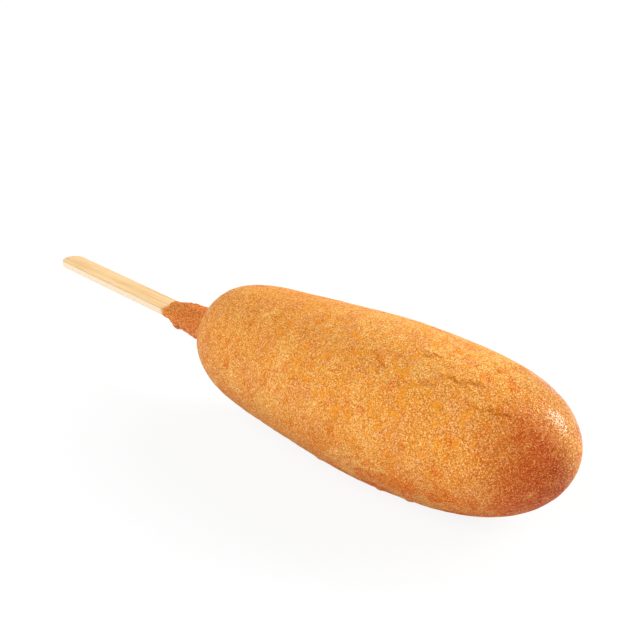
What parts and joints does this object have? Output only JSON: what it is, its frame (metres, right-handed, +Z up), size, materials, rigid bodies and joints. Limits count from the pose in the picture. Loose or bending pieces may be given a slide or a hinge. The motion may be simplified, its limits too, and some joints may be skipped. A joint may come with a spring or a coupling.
{
  "type": "corn dog",
  "caption": "Corn dog lying on its side: a fried batter body, widest past its middle, with a batter collar on a flat wooden stick.",
  "frame": {"origin": "middle of the footprint's bounding box, on the table plane that the underside rests on", "axes": "+X from the stick's free end to the rounded tip, +Z up, +Y to the side that the body bends away from"},
  "size_m": [0.2032, 0.0422, 0.0412],
  "materials": {
    "fried_batter": "golden fried corn batter, fine-grained, lightly oily, browned at the tip and the collar",
    "wooden_stick": "plain unfinished pale birch, fine lengthwise grain"
  },
  "bodies": {
    "root": {"fried_batter": "fried_batter", "wooden_stick": "wooden_stick"}
  },
  "joints": []
}
